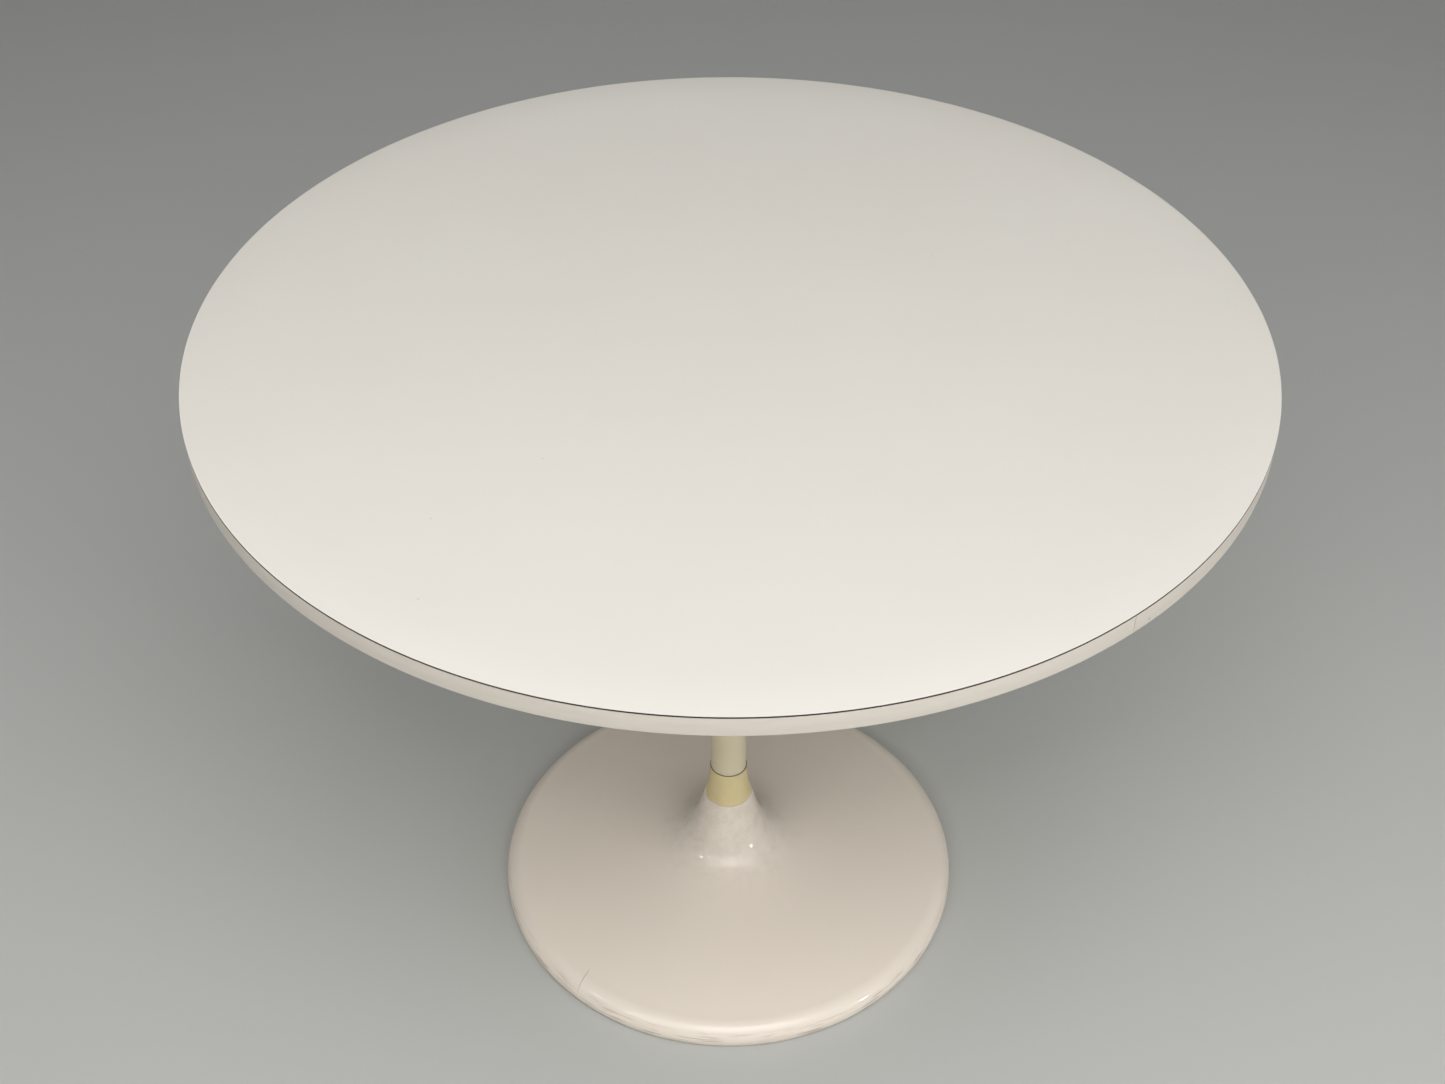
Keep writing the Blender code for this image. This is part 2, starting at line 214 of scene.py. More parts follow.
def skin(name, grids, around=True, along=False, sharp=35.0):
    """A mesh object from grids of points, rows down an outline and columns round it.

    Four neighbours make a face that points outwards. The last column meets the first where the piece goes
    all round, and the last row the first where its outline is closed; an open ribbon gets flat end caps.
    Rows that fall on one point are merged to a pole.
    """
    points, faces, first = [], [], 0
    for grid in grids if isinstance(grids, list) else [grids]:
        rows, columns = grid.shape[:2]
        index = first + np.arange(rows * columns).reshape(rows, columns)
        upper, lower = (index, np.roll(index, -1, axis=0)) if along else (index[:-1], index[1:])
        if around:
            sides = [upper, lower, np.roll(lower, -1, axis=1), np.roll(upper, -1, axis=1)]
        else:
            sides = [upper[:, :-1], lower[:, :-1], lower[:, 1:], upper[:, 1:]]
            faces += [index[::-1, 0].tolist(), index[:, -1].tolist()]
        faces += np.stack(sides, axis=-1).reshape(-1, 4).tolist()
        points.append(grid.reshape(-1, 3))
        first += rows * columns
    mesh = bpy.data.meshes.new(name)
    mesh.from_pydata(np.concatenate(points).tolist(), [], faces)
    shape = bmesh.new()
    shape.from_mesh(mesh)
    bmesh.ops.remove_doubles(shape, verts=shape.verts, dist=0.001 * MM)
    shape.to_mesh(mesh)
    shape.free()
    mesh.shade_smooth()
    mesh.set_sharp_from_angle(angle=radians(sharp))
    piece = bpy.data.objects.new(name, mesh)
    bpy.context.scene.collection.objects.link(piece)
    return piece


def turned(name, outline, columns=128, closed=True, at=(0.0, 0.0)):
    """An outline turned about an upright axis through a point."""
    outline = np.asarray(outline, float)
    grid = turned_grid(outline[:, :1], outline[:, 1:], whole_turn(columns))
    return skin(name, grid + [at[0], at[1], 0.0], along=closed)


def finish(piece, material, slot, *nodes):
    """Give a piece its material, let it ride on the table and let it stand for its CAD nodes."""
    piece.data.materials.append(material)
    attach(piece, ROOT)
    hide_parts(*nodes)


def paint(name, material):
    """Give a CAD node that stays its finish."""
    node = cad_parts[name]
    if not node.material_slots:
        node.data.materials.append(material)
    for slot in node.material_slots:
        slot.material = material


def second_finish(piece, material, chosen):
    """Give the faces whose middle passes a test, on arrays of x, y and z, a second material."""
    centres = np.empty(len(piece.data.polygons) * 3)
    piece.data.polygons.foreach_get("center", centres)
    x, y, z = centres.reshape(-1, 3).T
    piece.data.materials.append(material)
    piece.data.polygons.foreach_set("material_index", chosen(x, y, z).astype(np.int32))


# Finishes

def pressed_laminate(colour):
    """High-pressure melamine laminate, satin pressed.

    A closed, warm white sheet, almost even in tone, with a fine press texture that softens every
    reflection, hand-rubbed patches and a few small marks.
    """
    made, tree, place = start_finish("melamine_laminate_satin_pressed")
    cloud = add(tree, "TexNoise", {"Scale": per_mm(160), "Detail": 2.0}, {"Vector": place})
    tint = add(tree, "Mix", {"data_type": "RGBA", A: colour, B: linear("#e6e1d8")}, {0: cloud}, out=MIXED)
    for at, length, turn in (((-0.237, -0.262), 3.0, 40), ((-0.236, -0.356), 3.5, -20),
                             ((-0.154, -0.186), 3.0, 10), ((0.190, 0.120), 2.5, 70)):
        spot = mark(tree, place, at, (length * MM, 1.2 * MM), turn, 0.45)
        tint = add(tree, "Mix", {"data_type": "RGBA", B: linear("#b3aa9d")}, {0: spot, A: tint}, out=MIXED)
    rub = add(tree, "TexNoise", {"Scale": per_mm(55), "Detail": 3.0}, {"Vector": place})
    gloss = add(tree, "MapRange", {"From Min": 0.3, "From Max": 0.7, "To Min": 0.38, "To Max": 0.46},
                {"Value": rub})
    texture = add(tree, "TexNoise", {"Scale": per_mm(0.9), "Detail": 2.0}, {"Vector": place})
    relief = add(tree, "Bump", {"Distance": 0.004 * MM}, {"Height": texture})
    return end_finish(made, {"IOR": 1.5}, {"Base Color": tint, "Roughness": gloss, "Normal": relief})


def filed_core():
    """Phenolic kraft-paper core of the laminate, sawn and filed: brown-black and matt, in faint layers."""
    made, tree, place = start_finish("phenolic_paper_core_filed")
    layers = add(tree, "TexNoise", {"Scale": per_mm(3), "Detail": 3.0}, {"Vector": place})
    tint = add(tree, "Mix", {"data_type": "RGBA", A: linear("#241716"), B: linear("#33231f")}, {0: layers},
               out=MIXED)
    return end_finish(made, {"Roughness": 0.7}, {"Base Color": tint})


def bent_laminate(colour):
    """Laminate strip, heated, bent and glued: a greyer, pinker white than the top, with faint long streaks.

    Handling has left it a little uneven in gloss, with one grey speck.
    """
    made, tree, place = start_finish("melamine_laminate_strip_bent")
    flat = unrolled(tree, place, radius_of("edge_band"))
    drawn = add(tree, "Mapping", {"Scale": (0.12, 1.0, 1.0)}, {"Vector": flat})
    streak = add(tree, "TexNoise", {"Scale": per_mm(7), "Detail": 3.0}, {"Vector": drawn})
    soft = add(tree, "MapRange", {"interpolation_type": "SMOOTHSTEP", "From Min": 0.2, "From Max": 0.8},
               {"Value": streak})
    tint = add(tree, "Mix", {"data_type": "RGBA", A: colour, B: linear("#d5ccc1")}, {0: soft}, out=MIXED)
    speck = mark(tree, flat, (radians(-49.3) * radius_of("edge_band"), 0.717), (2.4 * MM, 1.5 * MM), 20, 0.8)
    tint = add(tree, "Mix", {"data_type": "RGBA", B: linear("#6f6a64")}, {0: speck, A: tint}, out=MIXED)
    gloss = add(tree, "MapRange", {"To Min": 0.42, "To Max": 0.52}, {"Value": soft})
    texture = add(tree, "TexNoise", {"Scale": per_mm(1.1), "Detail": 2.0}, {"Vector": place})
    relief = add(tree, "Bump", {"Distance": 0.006 * MM}, {"Height": texture})
    return end_finish(made, {"IOR": 1.5}, {"Base Color": tint, "Roughness": gloss, "Normal": relief})


def raw_chipboard():
    """Chipboard, pressed and sawn: brown flakes about 3 mm across in lighter and darker tones, dead matt."""
    made, tree, place = start_finish("chipboard_raw_sawn")
    flakes = add(tree, "TexVoronoi", {"Scale": per_mm(3)}, {"Vector": place}, out="Color")
    tone = add(tree, "SeparateXYZ", {}, {0: flakes})
    tint = add(tree, "Mix", {"data_type": "RGBA", A: linear("#97764f"), B: linear("#c6a87c")}, {0: tone},
               out=MIXED)
    relief = add(tree, "Bump", {"Distance": 0.15 * MM}, {"Height": tone})
    return end_finish(made, {"Roughness": 0.85}, {"Base Color": tint, "Normal": relief})


def sanded_backing():
    """Balancing laminate, sanded on its free side: warm grey and matt, with fine lines of the sanding belt.

    The lines are drawn 1.2 mm apart, coarser than a real belt leaves them, so that they show.
    """
    made, tree, place = start_finish("balancing_laminate_sanded")
    belt = add(tree, "Mapping", {"Scale": (0.03, 1.0, 1.0)}, {"Vector": place})
    lines = add(tree, "TexNoise", {"Scale": per_mm(1.2), "Detail": 3.0}, {"Vector": belt})
    cloud = add(tree, "TexNoise", {"Scale": per_mm(90), "Detail": 3.0}, {"Vector": place})
    tint = add(tree, "Mix", {"data_type": "RGBA", A: linear("#c9bfae"), B: linear("#b9ad9a")}, {0: cloud},
               out=MIXED)
    faint = add(tree, "MapRange", {"From Min": 0.4, "From Max": 0.8, "To Max": 0.3}, {"Value": lines})
    tint = add(tree, "Mix", {"data_type": "RGBA", B: linear("#978b79")}, {0: faint, A: tint}, out=MIXED)
    gloss = add(tree, "MapRange", {"To Min": 0.5, "To Max": 0.7}, {"Value": lines})
    relief = add(tree, "Bump", {"Distance": 0.01 * MM}, {"Height": lines})
    return end_finish(made, {"IOR": 1.5}, {"Base Color": tint, "Roughness": gloss, "Normal": relief})


def stoved_enamel(colour):
    """Enamel sprayed on steel and stoved: cream and semi-gloss, with a faint orange peel.

    Old polish and dirt have dried to paler smears above the collar; the thin brown line at the seam is
    painted shade and dirt.
    """
    made, tree, place = start_finish("enamel_sprayed_and_stoved")
    cloud = add(tree, "TexNoise", {"Scale": per_mm(60), "Detail": 3.0}, {"Vector": place})
    tint = add(tree, "Mix", {"data_type": "RGBA", A: colour, B: linear("#d9cdae")}, {0: cloud}, out=MIXED)
    height = add(tree, "SeparateXYZ", {}, {0: place}, out="Z")
    seam = high_of("collar")
    smear = add(tree, "TexNoise", {"Scale": per_mm(5), "Detail": 4.0}, {"Vector": place})
    near = add(tree, "MapRange", {"From Min": seam + 12 * MM, "From Max": seam, "To Max": 0.55},
               {"Value": height})
    patchy = add(tree, "MapRange", {"From Min": 0.5, "From Max": 0.65}, {"Value": smear})
    pale = add(tree, "Math", {"operation": "MULTIPLY"}, {0: near, 1: patchy})
    tint = add(tree, "Mix", {"data_type": "RGBA", B: linear("#ece6d4")}, {0: pale, A: tint}, out=MIXED)
    # Painted shade, with a little dirt: a thin brown line on the tube just above the collar, where the seam
    # gap is in shade.
    seam_shade_and_dirt = add(tree, "MapRange", {"From Min": seam + 0.6 * MM, "From Max": seam + 0.1 * MM, "To Max": 0.7},
               {"Value": height})
    tint = add(tree, "Mix", {"data_type": "RGBA", B: linear("#5d5038")}, {0: seam_shade_and_dirt, A: tint}, out=MIXED)
    gloss = add(tree, "MapRange", {"To Min": 0.30, "To Max": 0.42}, {"Value": cloud})
    peel = add(tree, "TexNoise", {"Scale": per_mm(2.2), "Detail": 1.0}, {"Vector": place})
    relief = add(tree, "Bump", {"Distance": 0.006 * MM}, {"Height": peel})
    return end_finish(made, {"IOR": 1.5, "Coat Weight": 0.15, "Coat Roughness": 0.2},
                      {"Base Color": tint, "Roughness": gloss, "Normal": relief})


def aged_plastic(colour):
    """Injection-moulded plastic, yellowed by light: satin, warm and slightly clouded.

    Its upper edge is darkened brown: painted shade of the seam with the tube, with a little dirt.
    """
    made, tree, place = start_finish("plastic_moulded_yellowed")
    cloud = add(tree, "TexNoise", {"Scale": per_mm(14), "Detail": 4.0}, {"Vector": place})
    tint = add(tree, "Mix", {"data_type": "RGBA", A: colour, B: linear("#dccc9b")}, {0: cloud}, out=MIXED)
    height = add(tree, "SeparateXYZ", {}, {0: place}, out="Z")
    edge = high_of("collar")
    # Painted shade, with a little dirt: the collar's top edge darkened brown, where the seam with the tube
    # is in shade.
    seam_shade_and_dirt = add(tree, "MapRange", {"From Min": edge - 0.5 * MM, "From Max": edge - 0.1 * MM, "To Max": 0.8},
               {"Value": height})
    tint = add(tree, "Mix", {"data_type": "RGBA", B: linear("#574a33")}, {0: seam_shade_and_dirt, A: tint}, out=MIXED)
    gloss = add(tree, "MapRange", {"To Min": 0.36, "To Max": 0.46}, {"Value": cloud})
    texture = add(tree, "TexNoise", {"Scale": per_mm(1.0), "Detail": 2.0}, {"Vector": place})
    relief = add(tree, "Bump", {"Distance": 0.005 * MM}, {"Height": texture})
    return end_finish(made, {"IOR": 1.49, "Subsurface Weight": 0.05, "Subsurface Scale": 2 * MM},
                      {"Base Color": tint, "Roughness": gloss, "Normal": relief})


def sprayed_gelcoat(colour):
    """Gelcoat sprayed into a mould and backed with glass fibre: glossy warm white over soft ripples.

    Shoes and brooms have dulled the neck in soft patches and drawn brown streaks along the rim, and one
    hairline crack runs from the dish over the rim.
    """
    made, tree, place = start_finish("gelcoat_on_glass_fibre")
    cloud = add(tree, "TexNoise", {"Scale": per_mm(70), "Detail": 5.0, "Roughness": 0.65},
                {"Vector": place})
    tint = add(tree, "Mix", {"data_type": "RGBA", A: colour, B: linear("#efe3d8")}, {0: cloud}, out=MIXED)

    reach = reach_of(tree, place)
    neck = add(tree, "MapRange", {"interpolation_type": "SMOOTHSTEP", "From Min": 100 * MM,
                                  "From Max": 30 * MM}, {"Value": reach})
    patch = add(tree, "TexNoise", {"Scale": per_mm(14), "Detail": 5.0, "Roughness": 0.65},
                {"Vector": place})
    scuffed = add(tree, "MapRange", {"interpolation_type": "SMOOTHSTEP", "From Min": 0.35, "From Max": 0.8},
                  {"Value": patch})
    worn = add(tree, "Math", {"operation": "MULTIPLY"}, {0: neck, 1: scuffed})
    faint = add(tree, "Math", {"operation": "MULTIPLY", 1: 0.4}, {0: worn})
    tint = add(tree, "Mix", {"data_type": "RGBA", B: linear("#c4b9ae")}, {0: faint, A: tint}, out=MIXED)

    flat = unrolled(tree, place, radius_of("base_cover"))
    drawn = add(tree, "Mapping", {"Scale": (0.05, 1.0, 1.0)}, {"Vector": flat})
    streak = add(tree, "TexNoise", {"Scale": per_mm(1.8), "Detail": 4.0}, {"Vector": drawn})
    kicks = add(tree, "MapRange", {"interpolation_type": "SMOOTHSTEP", "From Min": 0.48, "From Max": 0.75,
                                   "To Max": 0.75}, {"Value": streak})
    height = add(tree, "SeparateXYZ", {}, {0: place}, out="Z")
    rim = add(tree, "MapRange", {"interpolation_type": "SMOOTHSTEP", "From Min": 25 * MM,
                                 "From Max": 15 * MM}, {"Value": height})
    kicked = add(tree, "Math", {"operation": "MULTIPLY"}, {0: rim, 1: kicks})
    tint = add(tree, "Mix", {"data_type": "RGBA", B: linear("#a6937e")}, {0: kicked, A: tint}, out=MIXED)

    crack = mark(tree, place, (-0.1546, -0.1790), (28 * MM, 0.8 * MM), 60, 0.7)
    tint = add(tree, "Mix", {"data_type": "RGBA", B: linear("#857766")}, {0: crack, A: tint}, out=MIXED)

    polish = add(tree, "MapRange", {"From Min": 0.3, "From Max": 0.7, "To Min": 0.38, "To Max": 0.45},
                 {"Value": cloud})
    dull = add(tree, "Math", {"operation": "MULTIPLY_ADD", 1: 0.1}, {0: worn, 2: polish})
    ripple = add(tree, "TexNoise", {"Scale": per_mm(22), "Detail": 2.0}, {"Vector": place})
    relief = add(tree, "Bump", {"Distance": 0.06 * MM}, {"Height": ripple})
    pitted = add(tree, "Bump", {"Distance": 0.006 * MM}, {"Height": patch, "Normal": relief})
    gloss = {"IOR": 1.5, "Specular IOR Level": 0.15, "Coat Weight": 0.7, "Coat Roughness": 0.13}
    return end_finish(made, gloss, {"Base Color": tint, "Roughness": dull, "Normal": pitted})


def extruded_strip(colour):
    """Soft plastic, extruded and pushed into place: satin and pale, with floor dust drawn along it."""
    made, tree, place = start_finish("soft_plastic_extruded")
    flat = unrolled(tree, place, radius_of("rim_trim"))
    drawn = add(tree, "Mapping", {"Scale": (0.08, 1.0, 1.0)}, {"Vector": flat})
    streak = add(tree, "TexNoise", {"Scale": per_mm(1.5), "Detail": 3.0}, {"Vector": drawn})
    dust = add(tree, "MapRange", {"From Min": 0.45, "From Max": 0.8, "To Max": 0.6}, {"Value": streak})
    tint = add(tree, "Mix", {"data_type": "RGBA", A: colour, B: linear("#b5a794")}, {0: dust}, out=MIXED)
    gloss = add(tree, "MapRange", {"To Min": 0.40, "To Max": 0.65}, {"Value": dust})
    return end_finish(made, {"IOR": 1.5}, {"Base Color": tint, "Roughness": gloss})


def sand_casting():
    """Grey iron cast in sand, under black primer: dull and grainy, with a pitted skin."""
    made, tree, place = start_finish("cast_iron_sand_cast_primed")
    grain = add(tree, "TexNoise", {"Scale": per_mm(1.6), "Detail": 5.0, "Roughness": 0.7}, {"Vector": place})
    tint = add(tree, "Mix", {"data_type": "RGBA", A: linear("#1b1b1b"), B: linear("#3b3937")}, {0: grain},
               out=MIXED)
    gloss = add(tree, "MapRange", {"To Min": 0.50, "To Max": 0.85}, {"Value": grain})
    relief = add(tree, "Bump", {"Distance": 0.25 * MM}, {"Height": grain})
    return end_finish(made, {}, {"Base Color": tint, "Roughness": gloss, "Normal": relief})


def bright_zinc():
    """Zinc, plated on steel and passivated: bright and slightly blue, with a fine crystalline grain."""
    made, tree, place = start_finish("zinc_plated_and_passivated")
    grain = add(tree, "TexNoise", {"Scale": per_mm(0.8), "Detail": 4.0}, {"Vector": place})
    tint = add(tree, "Mix", {"data_type": "RGBA", A: linear("#b4b8ba"), B: linear("#d4d4cf")}, {0: grain},
               out=MIXED)
    gloss = add(tree, "MapRange", {"To Min": 0.22, "To Max": 0.45}, {"Value": grain})
    relief = add(tree, "Bump", {"Distance": 0.01 * MM}, {"Height": grain})
    return end_finish(made, {"Metallic": 1.0}, {"Base Color": tint, "Roughness": gloss, "Normal": relief})


def needled_felt():
    """Wool felt, needled and cut: dark, fibrous and matt. Its fibres are drawn 0.6 mm thick, to show."""
    made, tree, place = start_finish("wool_felt_needled")
    fibres = add(tree, "TexNoise", {"Scale": per_mm(0.6), "Detail": 5.0, "Roughness": 0.8},
                 {"Vector": place})
    tint = add(tree, "Mix", {"data_type": "RGBA", A: linear("#2c2723"), B: linear("#5c5249")}, {0: fibres},
               out=MIXED)
    relief = add(tree, "Bump", {"Distance": 0.3 * MM}, {"Height": fibres})
    return end_finish(made, {"Roughness": 0.95, "Sheen Weight": 0.3}, {"Base Color": tint, "Normal": relief})


def rolled_paint():
    """Floor paint, rolled on: pale and matt, with hardly any change of tone."""
    made, tree, place = start_finish("floor_paint_rolled")
    cloud = add(tree, "TexNoise", {"Scale": per_mm(900), "Detail": 2.0}, {"Vector": place})
    tint = add(tree, "Mix", {"data_type": "RGBA", A: linear("#c4c5c1"), B: linear("#bfc0bd")}, {0: cloud},
               out=MIXED)
    return end_finish(made, {"Roughness": 0.8}, {"Base Color": tint})


# What a user would change

class TableSizes(bpy.types.PropertyGroup):
    arris: FloatProperty(name="Arris", description="Easing of the laminate's edges",
                         default=0.3 * MM, min=0.1 * MM, unit="LENGTH")
    joint_turn: FloatProperty(name="Edge joint", description="Where the two ends of the edge strip meet",
                              default=radians(-51.4), subtype="ANGLE")
    joint_width: FloatProperty(name="Joint width", description="Gap between the ends of the edge strip",
                               default=0.5 * MM, min=0.1 * MM, unit="LENGTH")
    tube_wall: FloatProperty(name="Tube wall", description="Wall of the column's tube",
                             default=2 * MM, min=1 * MM, unit="LENGTH")
    collar_head: FloatProperty(name="Collar head", description="Radius of the collar at its top",
                               default=20 * MM, min=19.5 * MM, unit="LENGTH")
    neck_radius: FloatProperty(name="Neck radius", description="Radius of the base at its top",
                               default=26.2 * MM, min=20 * MM, unit="LENGTH")
    neck_slope: FloatProperty(name="Neck slope", description="Fall of the base at its neck",
                              default=radians(78), subtype="ANGLE")
    dish_slope: FloatProperty(name="Dish slope", description="Fall of the base where its rim starts",
                              default=radians(8.5), subtype="ANGLE")
    rim_width: FloatProperty(name="Rim width", description="How far the rolled rim reaches in",
                             default=20 * MM, min=5 * MM, unit="LENGTH")
    rim_height: FloatProperty(name="Rim height", description="Height of the base where its rim starts",
                              default=28 * MM, min=15 * MM, unit="LENGTH")
    arm_width: FloatProperty(name="Arm width", description="Width of the spider's arms",
                             default=30 * MM, min=10 * MM, unit="LENGTH")
    arm_thickness: FloatProperty(name="Arm thickness", description="Thickness of the arms and their gussets",
                                 default=5 * MM, min=2 * MM, unit="LENGTH")
    gusset_reach: FloatProperty(name="Gusset reach", description="Distance from the axis to a gusset's tip",
                                default=96 * MM, min=40 * MM, unit="LENGTH")
    gusset_tip: FloatProperty(name="Gusset tip", description="Depth of a gusset at its tip",
                              default=3 * MM, min=2 * MM, unit="LENGTH")
    shell: FloatProperty(name="Shell", description="Wall of the moulded base",
                         default=4 * MM, min=1 * MM, unit="LENGTH")
    columns: IntProperty(name="Columns", description="Faces round the largest pieces", default=288, min=64)


class TableColours(bpy.types.PropertyGroup):
    laminate: FloatVectorProperty(name="Laminate", description="Upper face", subtype="COLOR", size=4,
                                  min=0, max=1, default=linear("#e9e5dd"))
    strip: FloatVectorProperty(name="Edge strip", description="Strip round the edge", subtype="COLOR",
                               size=4, min=0, max=1, default=linear("#dad3c8"))
    enamel: FloatVectorProperty(name="Enamel", description="Tube and spider", subtype="COLOR", size=4,
                                min=0, max=1, default=linear("#e4dabc"))
    collar: FloatVectorProperty(name="Collar", description="Yellowed collar", subtype="COLOR", size=4,
                                min=0, max=1, default=linear("#e8d7a5"))
    base: FloatVectorProperty(name="Base", description="Moulded base", subtype="COLOR", size=4,
                              min=0, max=1, default=linear("#f3e9d9"))
    trim: FloatVectorProperty(name="Rim strip", description="Strip under the rim", subtype="COLOR", size=4,
                              min=0, max=1, default=linear("#ebe2d4"))


# Top

def make_sheet(sizes, colours):
    """Laminate sheet: out from the axis, over the arris, down the sawn side and back underneath."""
    high, low, radius = high_of("top_laminate"), low_of("top_laminate"), radius_of("top_laminate")
    ease = sizes.arris
    face = np.stack([np.linspace(0, radius - ease, 12), np.full(12, high)], axis=1)
    arris = arc((radius - ease, high - ease), (ease, ease), 90, 0, 5)[1:]
    outline = np.concatenate([face, arris, [[radius, low], [0, low]]])
    sheet = turned("top_sheet", outline, sizes.columns, closed=False)
    finish(sheet, pressed_laminate(tuple(colours.laminate)), "white_laminate", "top_laminate")
    second_finish(sheet, filed_core(), lambda x, y, z: z < high - DECOR)


def make_strip(sizes, colours):
    """Edge strip: an eased rectangle carried almost all the way round, from joint to joint."""
    high, low, radius = high_of("edge_band"), low_of("edge_band"), radius_of("edge_band")
    inner = radius - (high_of("top_laminate") - low_of("top_laminate"))
    section = rounded([(inner, high), (radius, high), (radius, low), (inner, low)], sizes.arris)
    half = sizes.joint_width / 2 / radius
    turns = np.linspace(sizes.joint_turn + half, sizes.joint_turn + 2 * pi - half, sizes.columns + 1)
    grid = turned_grid(section[:, :1], section[:, 1:], turns)
    strip = skin("edge_strip", grid, around=False, along=True)
    finish(strip, bent_laminate(tuple(colours.strip)), "white_laminate", "edge_band")
    second_finish(strip, filed_core(), lambda x, y, z: (z < low + DECOR) | (z > high - 0.8 * sizes.arris))


# Spider

def make_hub(sizes, enamel):
    """Turned hub: a shouldered drum, its spigot down the tube and the counterbore for the nut."""
    high, low, radius = high_of("spider_hub"), low_of("spider_hub"), radius_of("spider_hub")
    shoulder = high_of("column_tube") + GAP
    spigot = radius_of("column_tube") - sizes.tube_wall - GAP
    bore = radius_of("tie_rod") + GAP
    recess = 0.5 * radius
    seat = low_of("upper_washer") - GAP
    outline = rounded([(recess, high), (radius, high), (radius, shoulder), (spigot, shoulder),
                       (spigot, low), (bore, low), (bore, seat), (recess, seat)], 1.2 * MM)
    finish(turned("hub", outline, 96), enamel, "cream_enamel", "spider_hub")


def carried(ways, sides, heights):
    """Sections carried outwards along X: a row for each way, a column for each point of the section."""
    return np.stack(np.broadcast_arrays(ways[:, None], sides, heights), axis=-1)


def make_arm(name, turn, sizes, enamel):
    """An arm with a gusset under it, both flared into the weld where they meet the hub.

    The flat is an eased rectangle carried outwards, whose half width falls as a cosine round the free end.
    The gusset is a thinner one, whose lower corners rise from the hub as a power of the way along it. Both
    grow by the bead times (1 - s) squared, where s is the part of the bead's width gone from the hub.
    """
    low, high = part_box(name)
    far = max(abs(low[0]), abs(high[0]))
    half, thick, bead = sizes.arm_width / 2, sizes.arm_thickness, 2.5 * MM
    reach = (far - half) / cos(pi / 4) + half
    start = radius_of("spider_hub") - 0.5 * MM
    under = high[2] - thick

    def swell(ways):
        return bead * (1 - np.clip((ways - start) / bead, 0, 1)[:, None]) ** 2

    t = np.linspace(0, 0.49 * pi, 13)
    ways = np.concatenate([start + bead * np.linspace(0, 1, 6), reach - half + half * np.sin(t)])
    narrow = np.concatenate([np.ones(6), np.cos(t)])[:, None]
    y, z = rounded([(half, high[2]), (half, under), (-half, under), (-half, high[2])], 0.8 * MM).T
    sides = y * narrow + np.sign(y) * swell(ways)
    flat = carried(ways, sides, z - swell(ways) * (z < under + thick / 2))

    along = np.linspace(0, 1, 30) ** 2
    ways = start + (sizes.gusset_reach - start) * along
    depth = high[2] - low[2] - thick
    drop = depth + (sizes.gusset_tip - depth) * along ** 0.85
    y, z = rounded([(thick / 2, MM), (thick / 2, -MM), (-thick / 2, -MM), (-thick / 2, MM)], 0.8 * MM).T
    gusset = carried(ways, y + np.sign(y) * swell(ways), under + z + (z < 0) * (MM - drop[:, None]))

    piece = skin(name.replace("spider_", ""), [face_ends(turn_about(part, turn)) for part in (flat, gusset)])
    finish(piece, enamel, "cream_enamel", name)


def face_ends(grid):
    """A tube of sections closed at both ends by a row on the middle of its end section."""
    first, last = grid[:1].mean(axis=1, keepdims=True), grid[-1:].mean(axis=1, keepdims=True)
    shape = (1, *grid.shape[1:])
    return np.concatenate([np.broadcast_to(first, shape), grid, np.broadcast_to(last, shape)])


def turn_about(grid, turn):
    """A grid turned about the Z axis."""
    x, y, z = np.moveaxis(grid, -1, 0)
    return np.stack([x * cos(turn) - y * sin(turn), x * sin(turn) + y * cos(turn), z], axis=-1)


def make_screw(name, zinc):
    """Pan-head wood screw: a domed, cross-recessed head, a plain neck and a thread that fades at the point.

    The thread is a ridge on the core that follows the phase of a + 2 pi z / pitch, and the recess is two
    soft-edged slots at right angles, sunk into the dome.
    """
    low, high = low_of(name), high_of(name)
    head = (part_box(name)[1][0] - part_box(name)[0][0]) / 2
    seat, core, pitch, depth = low + 2.6 * MM, 1.6 * MM, 1.8 * MM, 0.6 * MM
    point, blunt, ridge_width = 5 * MM, 0.12, 0.22  # taper's length, its end, half a ridge in turns
    rise, slot, ease = 1.2 * MM, 0.8 * MM, 0.3 * MM  # dome's height, half a slot, edge of the head
    turns = whole_turn(24)
    heights = np.arange(high - 0.5 * MM, seat + 2 * MM, -pitch / 8)[:, None]
    phase = (turns / (2 * pi) + heights / pitch) % 1.0
    taper = np.clip((high - heights) / point, blunt, 1)
    ridge = np.clip(1 - np.abs(phase - 0.5) / ridge_width, 0, 1)
    thread = turned_grid((core + depth * ridge) * taper, heights, turns)
    neck = np.array([[core, seat + 1.5 * MM], [core, seat], [head - ease, seat], [head, seat - ease]])
    dome = arc((0, low + rise), (head, rise), 0, -90, 12)
    dome_grid = turned_grid(dome[:, :1], dome[:, 1:], turns)
    x, y = np.abs(dome_grid[..., 0]), np.abs(dome_grid[..., 1])
    slots = (np.exp(-(b / slot) ** 4 - (a / (0.6 * head)) ** 6) for a, b in ((x, y), (y, x)))
    dome_grid[..., 2] += rise * np.maximum(*slots)
    tip = turned_grid(np.zeros((1, 1)), high, turns)
    grid = np.concatenate([tip, thread, turned_grid(neck[:, :1], neck[:, 1:], turns), dome_grid])
    piece = skin(name.replace("wood_", ""), grid + [*centre_of(name), 0.0])
    finish(piece, zinc, "zinc_plated_steel", name)


# Column

def make_tube(sizes, enamel):
    """Drawn tube with eased ends."""
    high, low, radius = high_of("column_tube"), low_of("column_tube"), radius_of("column_tube")
    inner = radius - sizes.tube_wall
    outline = rounded([(inner, high), (radius, high), (radius, low), (inner, low)], 0.5 * MM)
    finish(turned("tube", outline), enamel, "cream_enamel", "column_tube")


